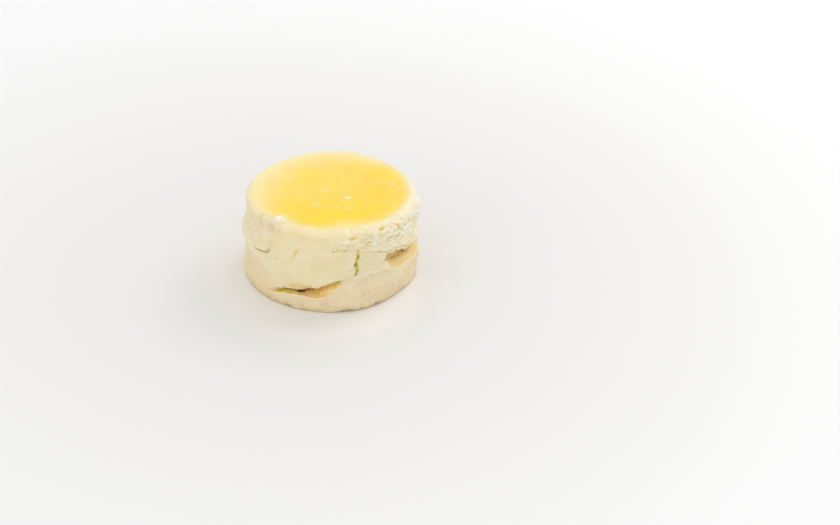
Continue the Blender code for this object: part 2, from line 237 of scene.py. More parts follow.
# Where the curd lies deeper and is richer in colour: (x, y, half width, share), the first three in mm
RICH_POOLS = (
    (28, 17, 7, 1.0), (-13, 16, 8, 0.6), (20, 2, 5, 0.5), (0, -8, 5, 0.7), (14, -8, 4, 0.8),
    (-4, -17, 5, 0.4), (10, 14, 5, 0.2), (-22, 4, 6, 0.3),
)


def eased(share):
    """0 below 0, 1 above 1, and a smooth step between them."""
    share = np.clip(share, 0.0, 1.0)
    return share * share * (3 - 2 * share)


def past(value, start, full):
    """0 up to a start, 1 from a full value on, and a smooth step between them. Full may be the lower one."""
    return eased((value - start) / (full - start))


def apart(bearing, centre):
    """Signed degrees from a centre to a bearing, the short way round."""
    return (bearing - centre + 180) % 360 - 180


def hump(across):
    """1 at 0, falling off as a bell to both sides: exp(-across squared)."""
    return np.exp(-(across**2))


def bell(bearing, height, centre, level, wide, tall):
    """1 at a bearing and a level in mm on the side, a bell of a half width and a half height in mm."""
    across = np.radians(apart(bearing, centre)) * FOOT_RADIUS / (wide * MM)
    return np.exp(-(across**2) - ((height - level * MM) / (tall * MM)) ** 2)


def line_at(bearing, stations):
    """Reads the smooth closed curve through (bearing, millimetres) stations at each bearing, in metres.

    Between two stations it is a cubic, whose slope at a station is that of the chord between its neighbours.
    """
    where, level = np.array(sorted(stations), float).T
    here = np.concatenate([where[-1:] - 360, where, where[:2] + 360])
    value = np.concatenate([level[-1:], level, level[:2]]) * MM
    slope = np.zeros(len(here))
    slope[1:-1] = (value[2:] - value[:-2]) / (here[2:] - here[:-2])
    slope[0] = slope[-3]
    turned = (bearing - where[0]) % 360 + where[0]
    step = np.searchsorted(here, turned, side="right") - 1
    width = here[step + 1] - here[step]
    t = (turned - here[step]) / width
    start = (2 * t**3 - 3 * t**2 + 1) * value[step] + (t**3 - 2 * t**2 + t) * width * slope[step]
    return start + (3 * t**2 - 2 * t**3) * value[step + 1] + (t**3 - t**2) * width * slope[step + 1]


def fold(bearing, height):
    """Cream hanging over the fold line: nothing below it, full just above it, and fading upwards."""
    out = np.maximum(line_at(bearing, FOLD_OUT_LINE), 0)
    above = height - line_at(bearing, FOLD_LINE)
    return out * eased(above / FOLD_LIP) * np.exp(-np.maximum(above - FOLD_LIP, 0) / FOLD_FADE)


def side_radius(bearing, height):
    """Radius of the pie's side: a tapering ring, plus bell-shaped swellings and hollows, plus the folds."""
    turn = np.radians(bearing)
    radius = FOOT_RADIUS - TAPER * height
    radius = radius + 0.35 * MM * np.sin(2 * turn + 0.6) + 0.25 * MM * np.sin(3 * turn + 90 * height)
    for centre, level, wide, tall, out in SWELLINGS:
        radius = radius + out * MM * bell(bearing, height, centre, level, wide, tall)
    return radius + fold(bearing, height)


def joint_height(bearing, radius):
    """The surface where cream meets base: level inside, and up or down to the joint line at the side."""
    outer = eased((radius - 0.45 * FOOT_RADIUS) / (0.50 * FOOT_RADIUS))
    return JOINT_LEVEL + (line_at(bearing, JOINT_LINE) - JOINT_LEVEL) * outer


def tear_depth(bearing):
    """How far in the base's side is torn away at each bearing."""
    return np.maximum(line_at(bearing, TEAR_DEPTH_LINE), 0)


def tear_at_joint(bearing):
    """How far in the tear still goes at the joint: a tear that ends lower down is closed over there."""
    closed_over = line_at(bearing, JOINT_LINE) - line_at(bearing, TEAR_EDGE_LINE)
    return tear_depth(bearing) * (1 - eased((closed_over - 0.8 * MM) / (1.5 * MM)))


def base_top(bearing, radius):
    """The base's top: at the joint, and lower by a crevice behind each tear."""
    torn = eased(tear_at_joint(bearing) / (2 * MM))
    crevice = CREVICE * torn * eased((radius - 0.50 * FOOT_RADIUS) / (0.30 * FOOT_RADIUS))
    return joint_height(bearing, radius) - crevice


def brow(bearing):
    """Radius and height of the side's top, where the shoulder starts to round over, and its roundness."""
    roundness = line_at(bearing, SHOULDER_ROUND_LINE)
    return side_radius(bearing, CREAM_TOP - roundness), CREAM_TOP - roundness, roundness


def curd_edge(bearing):
    """Radius of the curd's edge."""
    return np.minimum(line_at(bearing, CURD_EDGE_LINE), brow(bearing)[0] - CURD_INSET)


def cream_surface(bearing, radius):
    """The cream's top: a dish under the curd, a rim with one peak, and a shoulder rounded into the side."""
    outside, _, roundness = brow(bearing)
    dish = DISH_DEPTH * eased((curd_edge(bearing) - radius) / DISH_SLOPE)
    over = np.clip((radius - (outside - roundness)) / roundness, 0, 1)
    along = np.radians(apart(bearing, PEAK_BEARING)) * PEAK_RADIUS / PEAK_WIDTH
    peak = PEAK_HEIGHT * np.exp(-(along**2) - ((radius - PEAK_RADIUS) / PEAK_WIDTH) ** 2)
    return CREAM_TOP - dish - roundness * (1 - np.sqrt(1 - over**2)) + peak


# ---------------------------------------------------------------- grids, noise and meshes

SLOPES = np.random.default_rng(11).normal(size=(256, 3))
SLOPES /= np.linalg.norm(SLOPES, axis=1, keepdims=True)


def noise(x, y, z, seed):
    """Gradient noise, about -1 to 1, with features about one unit across.

    Each whole-number lattice point holds a random slope. A point reads the slopes of the eight corners of
    its cell, each times the way to that corner, and blends them by a smooth step along each axis.
    """
    place = np.stack(np.broadcast_arrays(x, y, z), axis=-1)
    cell = np.floor(place)
    inside = place - cell
    blend = inside**3 * (inside * (inside * 6 - 15) + 10)
    total = np.zeros(place.shape[:-1])
    for corner in product((0, 1), repeat=3):
        lattice = (cell + corner).astype(np.int64) @ np.array([73856093, 19349663, 83492791])
        mixed = (lattice ^ (seed * 40503)) * 2654435761 & 0xFFFFFFFF
        slope = SLOPES[(mixed ^ (mixed >> 15)) * 2246822519 >> 17 & 255]
        weight = np.prod(np.where(corner, blend, 1 - blend), axis=-1)
        total += weight * np.sum(slope * (inside - corner), axis=-1)
    return np.clip(total * 1.7, -1, 1)


def lumps(points, size, seed):
    """Noise read at a grid's own points, with features of the given size in mm."""
    x, y, z = np.moveaxis(points / (size * MM), -1, 0)
    return noise(x, y, z, seed)


def round_noise(bearing, height, wide, tall, seed):
    """Noise on the unrolled side, closed round the pie, with features of a given width and height in mm."""
    turn = np.radians(bearing)
    reach = FOOT_RADIUS / (wide * MM)
    return noise(reach * np.sin(turn), reach * np.cos(turn), height / (tall * MM), seed)


def along_route(bearing, height, route):
    """Distance from a route of (bearing, height in mm) points on the side, the way gone, and its length.

    Each leg gives the distance to its nearest point, and the nearest leg counts. All three are in metres.
    """
    x = np.radians(apart(bearing, route[0][0])) * FOOT_RADIUS
    corners = [(np.radians(apart(turn, route[0][0])) * FOOT_RADIUS, level * MM) for turn, level in route]
    nearest = np.full(height.shape, np.inf)
    gone = np.zeros(height.shape)
    length = 0.0
    for start, stop in zip(np.array(corners), np.array(corners)[1:]):
        step = stop - start
        leg = np.hypot(*step)
        share = np.clip(((x - start[0]) * step[0] + (height - start[1]) * step[1]) / leg**2, 0, 1)
        away = np.hypot(x - start[0] - share * step[0], height - start[1] - share * step[1])
        gone = np.where(away < nearest, length + share * leg, gone)
        nearest = np.minimum(nearest, away)
        length += leg
    return nearest, gone, length


def grid_points(bearing, radius, height):
    """Points of a turned surface: x = radius sin bearing, y = -radius cos bearing, z = height."""
    bearing, radius, height = np.broadcast_arrays(bearing, radius, height)
    turn = np.radians(bearing)
    return np.stack([radius * np.sin(turn), -radius * np.cos(turn), height], axis=-1)


def grid_normals(points):
    """Outward unit normals of a grid: the step round the pie crossed with the step along the profile."""
    around = np.roll(points, -1, axis=1) - np.roll(points, 1, axis=1)
    normal = np.cross(around, np.gradient(points, axis=0))
    return normal / np.maximum(np.linalg.norm(normal, axis=-1, keepdims=True), 1e-15)


def grid_piece(name, points, marks):
    """A closed mesh piece from a grid whose first and last rows are each drawn together into one pole."""
    rows, columns = points.shape[:2]
    corners = np.vstack([points[0].mean(0), points[1:-1].reshape(-1, 3), points[-1].mean(0)])
    index = 1 + np.arange((rows - 2) * columns).reshape(rows - 2, columns)
    after = np.roll(index, -1, axis=1)
    quads = np.stack([index[:-1], after[:-1], after[1:], index[1:]], axis=-1).reshape(-1, 4)
    first = np.stack([np.zeros(columns, int), after[0], index[0]], axis=-1)
    last = np.stack([index[-1], after[-1], np.full(columns, len(corners) - 1)], axis=-1)
    mesh = bpy.data.meshes.new(name)
    mesh.from_pydata(corners, [], [*quads.tolist(), *first.tolist(), *last.tolist()])
    for mark, values in marks.items():
        values = np.broadcast_to(values, (rows, columns))
        inner = values[1:-1].ravel()
        layer = mesh.attributes.new(mark, "FLOAT", "POINT")
        layer.data.foreach_set("value", np.concatenate([[values[0].mean()], inner, [values[-1].mean()]]))
    mesh.shade_smooth()
    piece = bpy.data.objects.new(name, mesh)
    bpy.context.scene.collection.objects.link(piece)
    return piece


def stretch(*stops):
    """Runs of evenly spaced values through stops of (value, steps to get there)."""
    values = [np.array([stops[0][0]], float)]
    for (before, _), (value, steps) in zip(stops, stops[1:]):
        values.append(np.linspace(before, value, steps + 1)[1:])
    return np.concatenate(values)[:, None]


BEARING = np.linspace(-180, 180, COLUMNS, endpoint=False)[None, :]


def wavering(wide, seed):
    """Noise of the bearing alone, with features of the given width in mm."""
    return round_noise(BEARING, 0, wide, 1, seed)


def low_side(bearing):
    """How far a bearing is in the stretch at the left and back where the curd lies level with the rim."""
    return hump(apart(bearing, -140) / 75)


def rim_rise(bearing, radius):
    """How far the cream's top stands up round the curd: a bell to either side of the curd's edge."""
    outward = radius - curd_edge(bearing)
    fade = np.where(outward > 0, RIM_FADE, BED_FADE)
    uneven = 1 + 0.45 * wavering(8, 53) + 0.25 * wavering(3.2, 54)
    low = low_side(bearing)
    back = 0.45 * hump(apart(bearing, 170) / 18) - 0.35 * hump(apart(bearing, -138) / 16)
    rise = RIM_RISE * (1 - 0.95 * low) * uneven + (back + 0.35 * low * (uneven - 1)) * MM
    return rise * hump(outward / fade)


def softness(bearing):
    """How far cream and base are smeared into each other: most at the left, less at the back."""
    left = past(bearing, -24, -33) * past(bearing, -135, -90)
    return np.clip(left + 0.7 * hump(apart(bearing, 170) / 40), 0, 1)


def hidden_joint(bearing):
    """Where no joint shows: where it is soft, and behind the smooth patch beside the long crack."""
    return np.maximum(softness(bearing), past(bearing, 22, 26) * past(bearing, 42.5, 41))


def biscuit_share(bearing, height):
    """How much of the biscuit's colour shows: all below the seen joint, half at it and none above.

    It is 1 / (1 + exp(distance above / width of the band)). The band is soft or sharp, and wanders.
    """
    soft = softness(bearing)
    wander = 1.4 * round_noise(bearing, height, 6, 3, 41)
    wander = wander + 0.5 * round_noise(bearing, height, 2, 1.2, 42)
    above = height - line_at(bearing, SEEN_JOINT_LINE) + wander * (0.2 + 0.8 * soft) * MM
    return 1 / (1 + np.exp(np.clip(above / ((0.22 + 1.5 * soft) * MM), -30, 30)))


def calm_at_joint(bearing, height):
    """Stills the relief of both layers where no joint shows, so that one surface runs into the other."""
    return 1 - hidden_joint(bearing) * hump((height - line_at(bearing, JOINT_LINE)) / (1.6 * MM))


def upright_edge(bearing, height):
    """The right tear starts at an upright edge that leans a little: 0 to its left and 1 to its right."""
    start = 42.2 - 1.7 * past(height, 20 * MM, 22 * MM)
    return np.where(bearing > 20, past(bearing, start, start + 1.4), 1.0)


def smeared(bearing, slant, wide, tall, seed):
    """Spatula strokes over one another: slow noise that climbs, and drops back at each whole number."""
    climb = 2.4 * round_noise(bearing, slant, wide, tall, seed)
    step = climb - np.floor(climb)
    return step * past(step, 1, 0.78) - 0.4


# ---------------------------------------------------------------- biscuit base


def streak(height, route, wide):
    """1 along a route of (bearing, height in mm) points on the side, a bell of a half width in mm across."""
    return hump(along_route(BEARING, height, route)[0] / (wide * MM))


def make_base():
    """The biscuit base: a disc with a crumbly foot, torn open at its side in two places.

    The profile runs by share: 0 to 1 is the side up to the tear's lower lip, 1 to 2 the tear's floor, which
    goes in and up, and 2 to 3 the wall from the tear's upper edge to the joint. The radius is the side's
    radius less the tear's depth. Bites are bell-shaped hollows in the foot's edge.
    """
    under = stretch((0, 0), (0.9, 5), (0.97, 6))
    foot = stretch((0, 0), (90, 6))
    side = stretch((0.1, 0), (0.92, 36), (1, 9), (1.08, 5), (1.75, 26), (2, 9), (2.12, 4), (3, 12))
    top = stretch((0.97, 0), (0.86, 3), (0.4, 4), (0, 3))

    lip_wander = wavering(3.6, 21) * 0.22 + wavering(1.3, 22) * 0.12
    pocket = hump(apart(BEARING, -21) / 6)
    shallow = past(BEARING, -14, -8) * past(BEARING, 30, 20)
    torn = tear_depth(BEARING) * (1 + 0.18 * wavering(5, 24) + 0.3 * pocket - 0.3 * shallow)
    torn_top = tear_at_joint(BEARING)
    crest = base_top(BEARING, side_radius(BEARING, line_at(BEARING, JOINT_LINE)) - torn_top)
    edge = line_at(BEARING, TEAR_EDGE_LINE) + wavering(2.6, 23) * 0.30 * MM
    edge = np.minimum(edge, crest - TEAR_MARGIN)
    lip = np.minimum(line_at(BEARING, TEAR_LIP_LINE) + lip_wander * MM, edge - TEAR_MARGIN)

    lower = [lip * side, lip + (edge - lip) * (side - 1)]
    height = np.select([side <= 1, side <= 2], lower, edge + (crest - edge) * (side - 2))
    floor = past(side, 1, 1.06) * (0.12 + 0.88 * np.clip((side - 1) / 0.75, 0, 1) ** 1.35)
    depth = np.where(side <= 2, torn * floor, torn + (torn_top - torn) * past(side, 2, 2.12))
    wall = side_radius(BEARING, height) - depth * upright_edge(BEARING, height)

    foot_edge = side_radius(BEARING, 0.1 * lip)
    foot_round = FOOT_ROUND * (1 + 0.35 * wavering(5, 25))
    foot_radius = foot_edge - foot_round * (1 - np.sin(np.radians(foot)))
    foot_height = 0.1 * lip * (1 - np.cos(np.radians(foot)))
    under_radius = under * (foot_edge - FOOT_ROUND)
    top_radius = top * wall[-1:]
    radius = np.vstack([under_radius, foot_radius, wall[1:], top_radius])
    height = np.vstack([0 * under_radius, foot_height, height[1:], base_top(BEARING, top_radius)])
    bites = sum(deep * MM * bell(BEARING, height, where, 0, wide, 1.1) for where, wide, deep in FOOT_BITES)
    crumbled = past(wavering(3.1, 26), 0.05, 0.55) + 0.5 * lip_wander
    crumbled = crumbled * (0.10 + 0.38 * bell(BEARING, 0, 20, 0, 26, 1)) * MM
    bites = bites + crumbled * hump(height / (0.9 * MM))
    undercut = 1.5 * MM * bell(BEARING, height, 50, 0, 15, 6)
    points = grid_points(BEARING, radius - bites - undercut, height)

    on_side = np.vstack([0 * under, 0 * foot + 1, 0 * side[1:] + 1, 0 * top])
    share = np.vstack([0 * under, 0 * foot, side[1:], 0 * top + 3])
    points, marks = crumbled_surface(points, height, share, on_side, torn, torn_top)
    piece = grid_piece("biscuit_base", points, marks)
    piece.data.materials.append(biscuit())
    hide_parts("base")
    return piece


def crumbled_surface(points, height, share, on_side, torn, torn_top):
    """Lays crumb on the base along its normals, and gives the marks that its material reads.

    In the tears that is lumps and grains, with a raised tongue painted light as a highlight, brown lines of
    painted shade under the cream's edges, painted shade deeper in, and a dark painted pocket. On the side it
    is pressed grains with a few pores, a raised lip under each tear, and crumbs round the foot; shade is
    painted in its pores and hollows and round the foot, and highlight along the lips and the ledge.
    """
    at = partial(bell, BEARING, height)
    on_right = BEARING > 30
    torn_here = past(torn, 0, 1.6 * MM) * upright_edge(BEARING, height)
    closing = past(BEARING, -31, -36) * past(share, 1.35, 1.7)
    tapered = past(BEARING, -44.5, -37.5) * past(BEARING, 101, 90)
    in_tear = torn_here * past(share, 0.98, 1.03) * np.where(share <= 2.05, 1, torn_top > 1 * MM)
    in_tear = in_tear * (1 - 0.85 * closing) * tapered
    outside = 1 - in_tear
    # Painted shade: darker orange deeper in the tears under the cream's overhang, less at the right
    deep = torn_here * past(share, 1.3, 1.75) * past(torn, 0, 4 * MM)
    deep = deep * (1 - 0.6 * past(BEARING, -8, 0) * past(BEARING, 30, 22)) * (1 - 0.35 * on_right)
    lip_light = torn_here * hump((share - 0.94) / 0.05) * outside * (1 - 0.6 * on_right)

    grain = lumps(points, 1.0, 31)
    coarse = lumps(points, 2.4, 32)
    broad = lumps(points, 7, 33)
    pores = past(lumps(points, 1.7, 34), 0.48, 0.73)
    crusts = (1 - np.abs(lumps(points, 2.8, 37))) ** 3
    slant = height - 0.5 * np.radians(BEARING) * FOOT_RADIUS
    drag = round_noise(BEARING, slant, 14, 1.6, 35) * (0.3 + 0.9 * at(66, 8, 26, 8))
    ledge = at(28, 18.2, 10, 1.2) * outside
    flap = at(41.6, 18.6, 0.9, 1.9)
    # Painted shade in brown, in a line and a spot under the cream's hanging edge over the right tear, along
    # grooves
    shade_line = streak(height, ((49.0, 19.2), (51.7, 18.5), (60.3, 17.4), (65.0, 16.9)), 0.26)
    shade_spot = streak(height, ((66.0, 17.3), (70.8, 16.1), (76.0, 15.3)), 0.42)
    tongue = streak(height, ((51.0, 20.4), (56.0, 19.3), (61.0, 18.3), (66.0, 17.7)), 0.46)
    # A dark painted pocket: painted shade in the crevice under the cream's edge at the front tear
    pocket = streak(height, ((-25.5, 8.25), (-21.5, 8.35), (-17.0, 8.85)), 0.21) * at(-20.8, 8.5, 2.2, 4)
    # Painted shade in brown under the cream's edge over the front tear
    shade_under_edge = streak(height, ((-31, 8.6), (-25, 8.6), (-20, 8.8), (-14, 9.3), (-8, 10.3)), 0.55)
    biscuit_here = biscuit_share(BEARING, height)
    right = 0.5 + 0.5 * at(55, 9, 30, 14)

    pressed = 0.30 * broad + 0.26 * coarse * right + 0.10 * grain + 0.22 * drag - 0.26 * pores
    pressed = pressed + 0.22 * lip_light + 0.28 * right * (crusts - 0.35)
    pressed = pressed * (0.3 + 0.7 * biscuit_here) + 0.65 * ledge
    crumb = 0.26 * np.abs(coarse) + 0.14 * grain + 0.35 * broad - 0.20 * past(coarse, 0.35, 0.55)
    crumb = crumb + 0.7 * tongue - 0.5 * shade_line - 0.5 * shade_spot - 0.3 * pocket
    foot_crumb = np.exp(-height / (1.6 * MM)) * (0.5 + lumps(points, 1.9, 36))
    rise = outside * (pressed + 0.5 * foot_crumb) * calm_at_joint(BEARING, height)
    rise = (rise + in_tear * crumb + 0.6 * flap) * on_side * past(height, 0, 0.9 * MM)
    points = points + grid_normals(points) * (rise * MM)[..., None]
    points[..., 2] = np.maximum(points[..., 2], 0)

    # Painted shade in olive at the narrow ends of the tears, where they close up
    olive_shade = past(BEARING, -47, -44) * (0.5 * past(BEARING, -24, -28) + 0.5 * past(BEARING, -31, -36))
    olive_shade = np.maximum(olive_shade, 0.3 * past(BEARING, 1, 6) * past(BEARING, 20, 16))
    olive_shade = np.maximum(olive_shade, 0.6 * at(44.4, 21.9, 1.6, 1.7))
    # Patchy strength of the painted shade in the right tear
    shade_patchiness = np.clip(0.75 + 0.9 * lumps(points, 1.3, 38), 0, 1)
    brown = np.maximum(shade_patchiness * np.maximum(0.65 * shade_line, 0.75 * shade_spot), 0.6 * shade_under_edge)
    # Painted shade below the ledge right of the long crack, low on the left side, and just below the front
    # tear's lip
    shaded = at(33, 16.9, 8, 0.7) + 0.5 * at(-60, 9, 16, 8) + 0.5 * at(-9, 6.6, 5, 1)
    # Painted shade in the pores and in the hollows between the crusts, together with the shaded places above
    painted_hollow_shade = (pores + 0.5 * past(crusts, 0.25, 0) * right + shaded) * outside
    # Painted contact shade: darker towards the foot, at the foot on the left front, and at each bite out of
    # the foot's edge
    foot_shade = np.exp(-height / (1.5 * MM)) * (0.70 - 0.5 * foot_crumb) + 0.35 * at(-44, 0.7, 8, 2.6)
    foot_shade = foot_shade + sum(0.8 * cut * at(where, 0, 1.2 * wide, 2) for where, wide, cut in FOOT_BITES)
    # Painted highlight along the lip under each tear, on the ledge, the flap, the tongue and the crusts'
    # tops
    pale = 0.55 * lip_light * (1 + coarse) + 0.8 * ledge + flap + tongue + 0.2 * (crusts - 0.6)
    marks = {
        "torn": in_tear * (1 - flap) * (1 - 0.6 * tongue),
        # Painted shade deeper in the tears
        "deep": deep * (1 - tongue),
        # Painted shade, near black, in the pocket
        "pocket": np.clip(1.6 * pocket, 0, 1) * in_tear,
        # Painted shade in brown, plus a tan patch near the front tear's lower lip
        "brown": np.maximum(brown, 0.5 * at(-11, 8.6, 8, 1.3)) * in_tear,
        "olive_shade": in_tear * olive_shade,
        "rosy": in_tear * past(BEARING, 30, 40),
        "smear": (1 - biscuit_here) * outside,
        # Painted highlight, and a lighter patch on the base below the right tear
        "pale": np.clip(pale + 0.75 * at(52, 12.6, 13, 3), 0, 1),
        "foot": on_side * np.clip(foot_shade, 0, 1),
        "hollow_shade": np.clip(painted_hollow_shade, 0, 1),
    }
    return points, marks


# ---------------------------------------------------------------- lime cream


def make_cream():
    """The lime cream: it lies on the base, hangs ragged over the tears and carries the curd in a dish.

    The profile runs by share: 0 to 1 is the side up to the fold line, 1 to 2 the fold's hanging lip, which
    droops below that line, and 2 to 3 the side above it. A quarter circle then turns the shoulder, and the
    top falls in to the dish. Where the joint is hidden, the foot thins out and runs down inside the base.
    """
    under = stretch((0, 0), (0.8, 3), (1, 7))
    side = stretch((0, 0), (0.08, 5), (1, 46), (2, 9), (3, 28))
    shoulder = stretch((0, 0), (90, 15))
    top = stretch((1, 0), (0.72, 16), (0, 3))

    def stacked(on_under, on_side, on_shoulder, on_top):
        """One value for each point, from those of the four runs."""
        runs = ((on_under, under), (on_side, side[1:]), (on_shoulder, shoulder[1:]), (on_top, top[1:]))
        return np.vstack([given + 0 * run for given, run in runs])

    joint = line_at(BEARING, JOINT_LINE)
    torn = past(tear_at_joint(BEARING), 0, 2.5 * MM) * upright_edge(BEARING, joint)
    hang = np.maximum(line_at(BEARING, HANG_LINE), 0)
    ragged = 0.30 * wavering(3.4, 51) + 0.16 * wavering(1.2, 52)
    hidden = hidden_joint(BEARING)
    foot = joint + (torn + (1 - torn) * 0.12) * ragged * MM - hang - HIDDEN_FOOT * hidden * (1 - torn)
    outside, brow_height, roundness = brow(BEARING)
    crease = np.clip(line_at(BEARING, FOLD_LINE), foot + 0.4 * MM, brow_height - 2 * FOLD_LIP)
    lip = crease + FOLD_LIP
    lower = [foot + (crease - foot) * side, crease + (lip - crease) * (side - 1)]
    height = np.select([side <= 1, side <= 2], lower, lip + (brow_height - lip) * (side - 2))
    tucked = (0.08 + 0.45 * torn) * (1 - np.sqrt(1 - (1 - np.clip(side / 0.08, 0, 1)) ** 2))
    thinned = 0.07 * past(height, joint + 0.8 * MM, joint - 0.7 * MM)
    thinned = hidden * (thinned + 0.24 * past(height, joint, joint - 1.2 * MM))
    radius = side_radius(BEARING, height) - (tucked + thinned) * MM + CREAM_PROUD
    out = np.maximum(line_at(BEARING, FOLD_OUT_LINE), 0)
    height = height - 0.55 * out * hump((side - 1.45) / 0.42)

    outside = outside + CREAM_PROUD
    turn = np.radians(shoulder)
    shoulder_radius = outside - roundness * (1 - np.cos(turn))
    shoulder_height = brow_height + roundness * np.sin(turn)
    shoulder_height = shoulder_height + rim_rise(BEARING, shoulder_radius) * past(shoulder, 0, 60)
    top_radius = (outside - roundness) * top
    top_height = cream_surface(BEARING, top_radius) + rim_rise(BEARING, top_radius)
    under_radius = radius[:1] * under
    under_height = joint_height(BEARING, under_radius) + (foot - joint) * under**12
    height = np.vstack([under_height, height[1:], shoulder_height[1:], top_height[1:]])
    radius = np.vstack([under_radius, radius[1:], shoulder_radius[1:], top_radius[1:]])
    points = grid_points(BEARING, radius, height)

    at = partial(bell, BEARING, height)
    grip = stacked(under**8, 1, 1, 0.35 + 0.65 * top[1:] ** 3) * np.where(height > foot + 0.3 * MM, 1, 0.5)
    at_curd = stacked(0, 0, past(shoulder[1:], 0, 60), 1)
    by_curd = past(radius, curd_edge(BEARING) + 1.8 * MM, curd_edge(BEARING) + 0.3 * MM)
    grip = np.maximum(grip * (1 - 0.85 * at_curd * by_curd), at_curd * at(PEAK_BEARING, PEAK_TOP, 2.6, 1.3))
    rise, marks = cream_relief(points, height)
    points = points + grid_normals(points) * (rise * grip)[..., None]

    inside = stacked(1, 0, 0, 0)
    on_top = stacked(0, 0, past(shoulder[1:], 40, 90), 1)
    share = stacked(0, side[1:], 3, 3)
    left = past(BEARING, -40, -44) * past(BEARING, -130, -110)
    near_crease = hump(np.maximum(crease - out - height, 0) / (0.3 * MM))
    below_fold = np.where(share < 1, near_crease, past(share, 1.35, 1.15))
    streaks = round_noise(BEARING, height + 0.7 * np.radians(BEARING) * FOOT_RADIUS, 14, 1.7, 55)
    # Painted shade in streaks high on the left shoulder, and over the lobe
    streaked_shade = at(-48, 38.4, 11, 2) * (0.9 + 0.9 * streaks) + at(-66, 33, 12, 6) * (0.40 + 0.5 * streaks)
    # Painted shade in brown on the cream's lower edge over the front tear
    brown = np.maximum(at(-24.2, 12, 2.4, 1.6), 0.9 * at(-20, 10.7, 5.6, 0.9))
    # Partly whiter cream, partly painted light: whiter high on the right and beside the right tear's start,
    # where the light falls, and a painted highlight band under the lobe's fold
    white = at(78, 36, 26, 7) + 0.8 * at(-66, 19.6, 13, 1.8) * (share < 1)
    white = white + 0.5 * at(36, 30.5, 14, 5) + 0.7 * at(39, 22.5, 2.2, 3)
    past_curd = np.maximum(radius - curd_edge(BEARING), 0) / ((0.5 + 1.7 * past(BEARING, 60, 20)) * MM)
    marks["edge_shade"] = 0.9 * np.maximum(brown, at(-17, 13, 4.8, 1.35)) * (1 - inside)
    # Painted shade: dark olive in the crease under the fold's lip and just below it
    marks["crease"] = below_fold * past(out, 0, 1.5 * MM) * (0.25 + 0.75 * left)
    marks["dusty"] = biscuit_share(BEARING, height) * (1 - inside)
    # Painted shade on the cream's underside where it shows in the tears
    marks["inside"] = inside * torn
    # Painted highlight: near white on the crests, the ridges and the peak
    marks["crest"] = np.maximum(marks["crest"], at(PEAK_BEARING, PEAK_TOP, 3.6, 1.3) * on_top)
    # Painted shade over the shoulder and top, so they are no brighter than the side under the light from
    # above
    marks["shoulder"] = stacked(0, 0, past(shoulder[1:], 0, 50), 1)
    # Painted shade in streaks on the left shoulder and over the lobe
    marks["streaked_shade"] = np.clip(streaked_shade, 0, 1) * (1 - inside)
    # Whiter cream with painted light on the right and a painted highlight band under the fold
    marks["white"] = np.clip(white, 0, 1) * (1 - inside)
    marks["yellowed"] = on_top * np.exp(-past_curd)
    piece = grid_piece("lime_cream", points, marks)
    piece.data.materials.append(cream())
    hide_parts("filling")
    return piece


